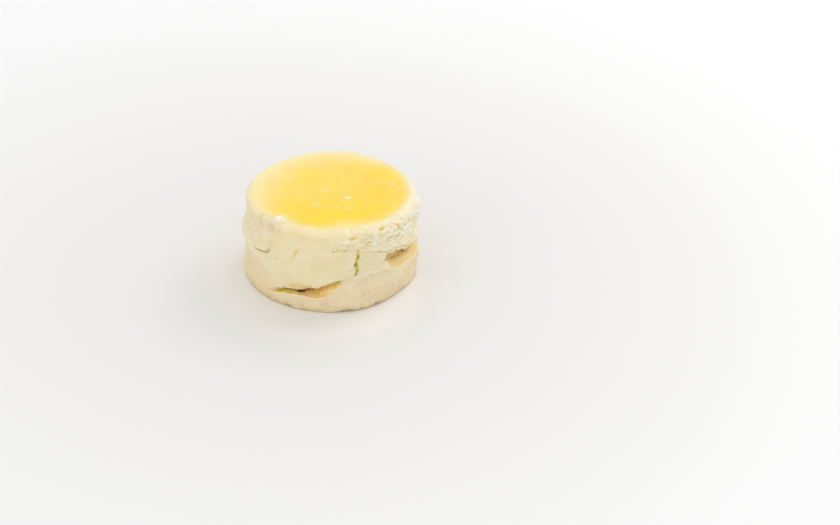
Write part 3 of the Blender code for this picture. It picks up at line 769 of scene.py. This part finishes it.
def cream_relief(points, height):
    """Relief of the cream's side, in metres, and marks for its slits, pits, crests and troughs, where its
    material paints shade and highlight.

    Rough places add ridged streaks, which are 1 less the size of stretched noise, to a power. A slit is a
    bell across its route with a raised burr beside it, and its width swells and shrinks along the way. A pit
    is a bell with steep sides and a burr below it.
    """
    at = partial(bell, BEARING, height)
    around = np.radians(BEARING) * FOOT_RADIUS
    patch = at(31, 23.2, 6.5, 4.2)
    rough = np.max([share * at(*place) for *place, share in ROUGH_PLACES], axis=0) * (1 - 0.9 * patch)

    strokes = round_noise(BEARING, height, 5.5, 1.3, 62)
    ridges = (1 - np.abs(round_noise(BEARING, height, 7.5, 1.9, 63))) ** 4
    crusts = lumps(points, 1.5, 64)
    tatters = (1 - np.abs(lumps(points, 2.6, 72))) ** 3
    swirl_x = np.radians(apart(BEARING, -84)) * FOOT_RADIUS
    swirl = np.sin(2 * np.pi * np.hypot(swirl_x, 1.25 * (height - 37 * MM)) / (2.3 * MM))
    lobe = at(-66, 29.5, 13, 4.8)
    slant = height - 0.35 * np.radians(apart(BEARING, -10)) * FOOT_RADIUS
    smears = (1 - np.abs(round_noise(BEARING, slant, 10, 1.9, 73))) ** 6
    layered = smeared(BEARING, slant, 15, 6, 74)
    small = smeared(BEARING, height + 0.2 * around, 8, 2.6, 75)
    terraces = smeared(BEARING, height + 0.1 * around, 9, 3.2, 78)
    holes = past(lumps(points, 2.0, 76), 0.50, 0.70)
    smooth = np.maximum(at(-14, 24, 21, 10), patch)

    worked = 0.22 * strokes + 0.36 * (ridges - 0.3) + 0.24 * crusts + 0.30 * (tatters - 0.35)
    worked = worked + 0.50 * terraces
    rise = 0.09 * round_noise(BEARING, height, 12, 1.2, 61) + 0.10 * lobe * swirl
    rise = rise + 0.16 * smears * (1 - lobe)
    rise = (rise + 0.30 * layered + 0.12 * small) * (1 - 0.65 * smooth)
    rise = rise + 0.09 * round_noise(BEARING, height, 2.6, 40, 77) * smooth - 0.22 * holes
    rise = rise + 0.28 * lumps(points, 9, 65) + 0.12 * lumps(points, 3.6, 66) + 0.05 * lumps(points, 1.5, 67)
    rise = rise * (1 - 0.6 * rough) + 1.5 * rough * worked - 0.30 * patch_edge(BEARING, height)
    jagged = np.clip(2.2 * (tatters - 0.35) + 0.9 * crusts, -1.0, 0.45)
    rise = rise * calm_at_joint(BEARING, height) + 0.8 * at(PEAK_BEARING, PEAK_TOP, 3, 1.6) * jagged
    flakes = 0.8 * at(92, 33.6, 2.2, 1.3) + 0.6 * at(86, 29.4, 2, 1.6)
    rise = rise + 0.85 * at(91, 31.5, 8, 4.6) + flakes * (0.8 + 0.9 * crusts)

    slit, blob, ridge, pitted = np.zeros((4, *height.shape))
    shaky = 0.30 * MM * lumps(points, 0.9, 68) + 0.22 * MM * lumps(points, 2.2, 70)
    for route, wide, deep, burr in SLITS:
        away, gone, length = along_route(BEARING, height, route)
        away = np.abs(away + shaky * min(1, 1.4 * wide))
        ends = past(gone, 0, 1 * MM) * past(length - gone, 0, 1 * MM)
        blobs = noise(gone / (1.7 * MM), route[0][0], 0.5, 69)
        width = wide * MM * (0.45 + 0.55 * ends) * (1 + 0.45 * blobs)
        cut = np.exp(-((away / width) ** 4))
        burrs = hump((away - 2 * width) / (0.8 * width)) * ends
        rise = rise - deep * cut * (0.7 + 0.5 * blobs) + burr * burrs * (0.6 + 0.8 * crusts)
        slit = np.maximum(slit, cut * min(1, deep) * np.clip(0.8 + 0.7 * blobs, 0.3, 1))
        blob = np.maximum(blob, cut * eased((deep - 1) / 0.5) * past(blobs, 0.05, 0.30))
        ridge = np.maximum(ridge, cut * min(1, -1.5 * deep) * (0.6 + 0.8 * crusts))
    wobble = 0.4 * MM * lumps(points, 1.6, 71)
    for centre, level, wide, tall, deep in PITS:
        pit = bell(BEARING, height + wobble, centre, level, wide, tall)
        pit = hump(np.log(pit + 1e-9))
        rise = rise - deep * pit + 0.2 * deep * at(centre, level - 2.2 * tall, 1.4 * wide, 0.9 * tall)
        pitted = np.maximum(pitted, pit * min(1, 0.9 * deep))
    rise = rise - 0.5 * at(-23.5, 11.4, 4.2, 0.8)
    marks = {
        # Painted shade: olive in the slits, darker olive blobs in them, and deep yellow in the pits
        "slit": slit,
        "blob": blob,
        "pit": pitted,
        "worked": rough,
        # Painted highlight on crests and ridges
        "crest": np.clip(rough * past(worked, 0.05, 0.40) + 0.2 * (1 - rough) * smears + ridge, 0, 1),
        # Painted shade in the troughs and holes
        "trough_shade": np.clip(rough * past(worked, -0.05, -0.30) + 0.5 * holes, 0, 1),
    }
    return rise * MM, marks


def patch_edge(bearing, height):
    """A hollow just below the ledge over the recessed patch, to the right of the long crack."""
    below = line_at(bearing, FOLD_LINE) - height
    return hump((below - 0.5 * MM) / (0.6 * MM)) * past(bearing, 20, 23) * past(bearing, 42, 38)


# ---------------------------------------------------------------- lime curd


def make_curd():
    """The lime curd: a thin glossy sheet in the cream's dish, level with the rim, with a wavy edge.

    Its level falls from the middle's to the rim's by a high power of the way out, and dips a little in from
    the edge. Low waves and bubbles are added on top: a whole bubble is a cap of a ball, a burst one a small
    crater with a raised rim.
    """
    under = stretch((0, 0), (0.8, 4), (1, 6))
    surface = stretch((1, 0), (0.93, 22), (0.8, 22), (0, 62))
    wander = 0.3 + 0.35 * wavering(5, 81) + 0.16 * wavering(1.8, 82) + 1.1 * hump(apart(BEARING, -57) / 12)
    low = low_side(BEARING)
    edge = np.minimum(curd_edge(BEARING) + (wander + 0.5 * low) * MM, brow(BEARING)[0] - 0.15 * MM)

    under_radius = under * edge
    under_height = cream_surface(BEARING, under_radius) - CURD_THICKNESS
    middle_level = CURD_TOP - 0.1 * MM
    rim_level = cream_surface(BEARING, edge) + rim_rise(BEARING, edge) + (0.12 * low - 0.04) * MM
    rim_level = np.minimum(rim_level, middle_level)
    level = middle_level + (rim_level - middle_level) * surface ** (10 + 14 * low)
    height = level - CURD_SINK * past(edge - surface * edge, CURD_FEATHER, 0)
    radius = np.vstack([under_radius, surface[1:] * edge])
    points = grid_points(BEARING, radius, np.vstack([under_height, height[1:]]))

    x, y = points[..., 0] / MM, points[..., 1] / MM
    from_middle = np.hypot(x, y)
    calm = np.vstack([0 * under, past(surface[1:], 1, 0.94)])
    wave = 0.11 * noise(x / 13, y / 13, 0.5, 83) + 0.03 * noise(x / 4, y / 4, 0.5, 84)
    bubble_glint = np.zeros(x.shape)
    for bubble_x, bubble_y, size, tall, white in BUBBLES:
        away = np.hypot(x - bubble_x, y - bubble_y) / size
        cap = np.sqrt(np.clip(1 - away**2, 0, 1))
        crater = np.exp(-(away**2) * 2.2) - 0.35 * hump((away - 1.05) / 0.3)
        wave = wave + tall * (cap if tall > 0 else crater)
        # Painted highlight: near white over each bubble, by its whiteness
        bubble_glint = np.maximum(bubble_glint, white * np.exp(-((away / 1.05) ** 4)))
    points[..., 2] += wave * calm * MM
    thin_band = line_at(BEARING, CURD_THIN_LINE)
    from_edge = np.maximum(edge - radius, 0)
    thick = 0.60 * noise(x / 15, y / 9, 0.5, 85) + 0.40 * noise(x / 7, y / 2.6, 0.5, 86)
    rich = hump((from_middle - 22) / 9) * hump(apart(BEARING, 8) / 75)
    for pool_x, pool_y, size, share in RICH_POOLS:
        rich = np.maximum(rich, share * hump(np.hypot(x - pool_x, y - pool_y) / size))
    marks = {
        # Thin curd at the edge, and a painted sheen where the band is wide at the left and back
        "thin": np.exp(-2 * (from_edge / thin_band) ** 1.2),
        # Thin curd and painted sheen near the edge on the low side
        "thin_edge_sheen": low * np.exp(-from_edge / (5 * MM)),
        "bubble_glint": bubble_glint * calm,
        "rich": np.clip(0.15 + 0.85 * rich + 0.45 * thick, 0, 1),
    }
    piece = grid_piece("lime_curd", points, marks)
    piece.data.materials.append(curd())
    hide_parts("topping")
    return piece


# ---------------------------------------------------------------- materials


class Value:
    """A number in a shader tree. An expression on it adds a Math node for each sign."""

    def __init__(self, recipe, socket):
        self.recipe = recipe
        self.socket = socket

    def math(self, operation, *others):
        links = [getattr(other, "socket", other) for other in others]
        return self.recipe.add("ShaderNodeMath", {"operation": operation}, dict(enumerate(links)))

    def __add__(self, other):
        return self.math("ADD", self, other)

    def __rsub__(self, other):
        return self.math("SUBTRACT", other, self)

    def __mul__(self, other):
        return self.math("MULTIPLY", self, other)

    __radd__ = __add__
    __rmul__ = __mul__

    def between(self, low, high):
        """0 at low, 1 at high, eased between them."""
        settings = {"interpolation_type": "SMOOTHSTEP"}
        given = {"Value": self.socket, "From Min": low, "From Max": high}
        return self.recipe.add("ShaderNodeMapRange", settings, given)


class Recipe:
    """A material under construction: one Principled shader and the nodes that feed it. Sizes are in mm."""

    def __init__(self, name):
        self.material = bpy.data.materials.new(name)
        self.material.use_nodes = True
        self.tree = self.material.node_tree
        self.shader = self.tree.nodes["Principled BSDF"]
        self.place = self.add("ShaderNodeTexCoord", {}, {}, "Object")

    def add(self, kind, settings, inputs, output=0):
        """A node of a type, its settings made first, then its sockets' values or links. Gives one output."""
        node = self.tree.nodes.new(kind)
        for key, setting in settings.items():
            setattr(node, key, setting)
        self.feed(node, inputs)
        return Value(self, node.outputs[output])

    def feed(self, node, inputs):
        """Gives each named socket of a node a value, or a link from another node."""
        for key, given in inputs.items():
            given = getattr(given, "socket", given)
            if isinstance(given, bpy.types.NodeSocket):
                self.tree.links.new(given, node.inputs[key])
            else:
                node.inputs[key].default_value = given

    def mark(self, name):
        """A number laid on the piece's points."""
        return self.add("ShaderNodeAttribute", {"attribute_name": name}, {}, "Fac")

    def noise(self, size, detail=3.0, rough=0.55, stretch=(1, 1, 1)):
        """Noise with features of a size, 0 to 1. Stretch makes them longer along an axis."""
        scale = tuple(1 / (size * MM * long) for long in stretch)
        place = self.add("ShaderNodeVectorMath", {"operation": "MULTIPLY"}, {0: self.place, 1: scale})
        given = {"Vector": place, "Scale": 1.0, "Detail": detail, "Roughness": rough}
        return self.add("ShaderNodeTexNoise", {}, given)

    def cells(self, size):
        """Distance from the middle of the nearest of many cells of a size."""
        return self.add("ShaderNodeTexVoronoi", {}, {"Vector": self.place, "Scale": 1 / (size * MM)})

    def distance(self, centre):
        """Distance in metres from a point of the object."""
        place = self.add("ShaderNodeVectorMath", {"operation": "SUBTRACT"}, {0: self.place, 1: centre})
        return self.add("ShaderNodeVectorMath", {"operation": "LENGTH"}, {0: place}, "Value")

    def mix(self, share, first, second):
        """A colour between two colours."""
        ends = [(*end, 1.0) if isinstance(end, tuple) else end for end in (first, second)]
        given = {"Factor": share, 6: ends[0], 7: ends[1]}
        return self.add("ShaderNodeMix", {"data_type": "RGBA"}, given, 2)

    def painted(self, colour, *coats):
        """Lays coats of (mark, strength, colour) over a colour, one after another."""
        for mark, strength, coat in coats:
            share = self.mark(mark)
            colour = self.mix(share if strength == 1 else share * strength, colour, coat)
        return colour

    def bump(self, relief, depth):
        """A normal tilted by a relief, where a relief of 1 is as high as the depth in mm."""
        return self.add("ShaderNodeBump", {}, {"Height": relief, "Distance": depth * MM})

    def finish(self, inputs):
        """The material, once its shader is fed."""
        self.feed(self.shader, inputs)
        return self.material


def biscuit():
    """Pressed biscuit: pale beige fine crumb, smeared with cream, tan and coarse where torn; painted shade
    and highlights.
    """
    made = Recipe("pressed_biscuit")
    torn = made.mark("torn")
    cloudy = made.noise(7, 2.0).between(0.3, 0.7)
    flecks = made.noise(1.0, 2.0).between(0.58, 0.74)
    mottled = made.noise(3.2).between(0.42, 0.66)
    side = made.mix(cloudy, (0.855, 0.690, 0.440), (0.897, 0.755, 0.515))
    side = made.mix(flecks * 0.14, side, (0.74, 0.54, 0.30))
    # Painted shade in the side's pores and hollows, below the ledge and low on the left
    side = made.painted(side, ("hollow_shade", 0.30, (0.72, 0.52, 0.27)))
    side = made.mix(mottled * 0.30, side, (0.93, 0.76, 0.48))
    side = made.painted(
        side,
        # Painted contact shade round the foot
        ("foot", 0.75, (0.52, 0.38, 0.13)),
        ("smear", 1, (0.882, 0.770, 0.470)),
        # Painted highlight on the lips, the ledge, the flap and the tongue
        ("pale", 0.75, (0.95, 0.86, 0.62)),
    )
    grains = made.noise(1.8).between(0.35, 0.65)
    crumb = made.painted(
        made.mix(grains, (0.95, 0.65, 0.21), (0.99, 0.78, 0.36)),
        # Painted shade deeper in the tears, in dark orange
        ("deep", 0.80, (0.86, 0.48, 0.06)),
        ("rosy", 0.45, (0.985, 0.770, 0.430)),
        # Painted shade in olive at the tears' narrow ends
        ("olive_shade", 0.92, (0.62, 0.45, 0.01)),
        # Painted shade in brown under the cream's edges, and a tan patch near the front tear's lower lip
        ("brown", 0.85, (0.59, 0.285, 0.0)),
        # Near-black painted shade in the pocket
        ("pocket", 1, (0.16, 0.062, 0.0)),
    )
    grit = made.noise(0.45, 3.0, 0.65)
    relief = (grit * 0.5 + made.cells(0.9) * (0.35 + torn * 0.2)) * (1.0 - made.mark("smear") * 0.6)
    looks = {
        "Base Color": made.mix(torn, side, crumb),
        "Roughness": 0.62 + grit * 0.2,
        "Normal": made.bump(relief, 0.20),
        "Subsurface Weight": 0.15,
        "Subsurface Radius": (0.0030, 0.0018, 0.0009),
        "Subsurface Scale": 1.0,
        "Specular IOR Level": 0.35,
    }
    return made.finish(looks)


def cream():
    """Lime cream: pale warm yellow, painted near white on its crests as highlight, and olive yellow in its
    slits as shade.
    """
    made = Recipe("lime_cream")
    worked = made.mark("worked")
    cloudy = made.noise(9, 2.0).between(0.3, 0.7)
    patches = made.noise(2.6, stretch=(2.5, 2.5, 0.7)).between(0.35, 0.68)
    blush = made.noise(5, stretch=(1.4, 1.4, 0.8)).between(0.48, 0.66)
    colour = made.mix(cloudy, (0.850, 0.752, 0.435), (0.900, 0.785, 0.495))
    colour = made.mix(blush * 0.50, colour, (0.890, 0.705, 0.450))
    colour = made.mix(patches * (0.16 + worked * 0.25), colour, (0.940, 0.865, 0.640))
    colour = made.painted(
        colour,
        # Painted shade over the shoulder and top
        ("shoulder", 0.70, (0.83, 0.71, 0.41)),
        # Painted shade in streaks on the left shoulder and the lobe
        ("streaked_shade", 0.66, (0.66, 0.54, 0.37)),
        # Whiter cream with painted light on the right and a painted highlight band under the fold
        ("white", 0.60, (0.96, 0.90, 0.73)),
        ("yellowed", 0.90, (0.96, 0.80, 0.38)),
        ("dusty", 1, (0.885, 0.722, 0.490)),
        # Painted shade in the troughs and holes
        ("trough_shade", 0.60, (0.80, 0.67, 0.29)),
        # Painted highlight on crests, ridges and the peak
        ("crest", 0.80, (0.985, 0.950, 0.830)),
        # Painted shade in brown on the cream's lower edge over the front tear
        ("edge_shade", 1, (0.80, 0.55, 0.18)),
        # Painted shade in the crease under the fold
        ("crease", 0.80, (0.48, 0.38, 0.09)),
        # Painted shade in the pits, slits and blobs
        ("pit", 0.85, (0.94, 0.73, 0.15)),
        ("slit", 0.90, (0.86, 0.73, 0.11)),
        ("blob", 0.65, (0.48, 0.38, 0.03)),
        # Painted shade on the cream's underside in the tears
        ("inside", 0.80, (0.62, 0.46, 0.18)),
    )
    streaks = made.noise(1.1, 3.0, 0.6, stretch=(5, 5, 0.6))
    pores = made.noise(0.5, 2.0)
    looks = {
        "Base Color": colour,
        "Roughness": 0.46 + pores * 0.18 + worked * 0.08,
        "Normal": made.bump(streaks * (0.5 + worked * 0.7) + pores * 0.30, 0.09),
        "Subsurface Weight": 0.30,
        "Subsurface Radius": (0.0040, 0.0028, 0.0014),
        "Subsurface Scale": 1.0,
        "Specular IOR Level": 0.4,
    }
    return made.finish(looks)


def curd():
    """Lime curd: wet, glossy, warm yellow, richer where thick, pale where it thins away, with painted sheen
    and glints.
    """
    made = Recipe("lime_curd")
    cloudy = made.noise(12, 2.0).between(0.3, 0.7)
    colour = made.painted(
        made.mix(cloudy, (0.980, 0.640, 0.080), (0.988, 0.690, 0.130)),
        ("rich", 1, (0.982, 0.675, 0.005)),
        ("thin", 1, (0.962, 0.810, 0.400)),
        # Thin curd and painted sheen at the left and back
        ("thin_edge_sheen", 0.75, (0.965, 0.850, 0.560)),
        # Painted highlight on the bubbles
        ("bubble_glint", 0.90, (1.0, 0.96, 0.78)),
    )
    looks = {
        "Base Color": colour,
        "Roughness": 0.24 + cloudy * 0.06,
        "Normal": made.bump(made.noise(3.5, 2.0), 0.08),
        "Subsurface Weight": 0.25,
        "Subsurface Radius": (0.0050, 0.0035, 0.0008),
        "Subsurface Scale": 1.0,
        "Specular IOR Level": 0.3,
        "Coat Weight": 0.35,
        "Coat Roughness": 0.06,
    }
    return made.finish(looks)


# ---------------------------------------------------------------- floor, light and camera

CAMERA_ELEVATION = 32.0
CAMERA_DISTANCE = 1.72
LENS = 158.4
AIM = Vector((41.2 * MM, 0.0, 0.0))
AIM_RISE = 1.8 * MM


def make_floor():
    """A plain pale floor, a little whiter away from the middle, with painted light close round the pie's
    front.
    """
    bpy.ops.mesh.primitive_plane_add(size=8, location=(0, 0, 0))
    floor = bpy.context.object
    floor.name = "floor"
    made = Recipe("pale_floor")
    colour = made.mix(made.noise(250, 2.0), (0.785, 0.775, 0.760), (0.805, 0.797, 0.785))
    # Painted light on the floor close round the pie's front, lifting the shade there
    painted_light_near_front = made.distance((-0.008, -0.016, 0)).between(0.058, 0.040)
    colour = made.mix(painted_light_near_front * 0.9, colour, (0.870, 0.860, 0.840))
    colour = made.mix(made.distance((0, 0, 0)).between(0.06, 0.32), colour, (0.900, 0.900, 0.900))
    floor.data.materials.append(made.finish({"Base Color": colour, "Roughness": 0.45}))


def make_light(name, position, target, size, power):
    """A soft square light that looks at a target."""
    lamp = bpy.data.lights.new(name, "AREA")
    lamp.size = size
    lamp.energy = power
    holder = bpy.data.objects.new(name, lamp)
    holder.location = position
    holder.rotation_euler = (Vector(target) - Vector(position)).to_track_quat("-Z", "Y").to_euler()
    bpy.context.scene.collection.objects.link(holder)


def make_surroundings():
    """An even white world."""
    world = bpy.data.worlds.new("soft_white")
    world.use_nodes = True
    sky = world.node_tree.nodes["Background"]
    sky.inputs["Color"].default_value = (1.0, 1.0, 1.0, 1.0)
    sky.inputs["Strength"].default_value = 0.86
    bpy.context.scene.world = world
    bpy.context.scene.view_settings.view_transform = "Standard"


def make_camera():
    """A long lens that looks down on the pie, which stands left of the middle of the frame."""
    pitch = np.radians(CAMERA_ELEVATION)
    back = Vector((0, -np.cos(pitch), np.sin(pitch)))
    up = Vector((0, np.sin(pitch), np.cos(pitch)))
    lens = bpy.data.cameras.new("camera")
    lens.lens = LENS
    lens.sensor_width = 36.0
    lens.clip_start = 0.05
    lens.clip_end = 50.0
    camera = bpy.data.objects.new("camera", lens)
    camera.location = AIM + up * AIM_RISE + back * CAMERA_DISTANCE
    camera.rotation_euler = (-back).to_track_quat("-Z", "Y").to_euler()
    bpy.context.scene.collection.objects.link(camera)
    bpy.context.scene.camera = camera


make_camera()
make_surroundings()
make_floor()
make_light("key", (0.75, 0.75, 1.05), (0, 0, 0.02), 0.9, 6.0)
make_light("fill", (-0.9, -0.9, 0.8), (0, 0, 0.02), 1.0, 2.0)
for made_piece in (make_base(), make_cream(), make_curd()):
    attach(made_piece, "root")
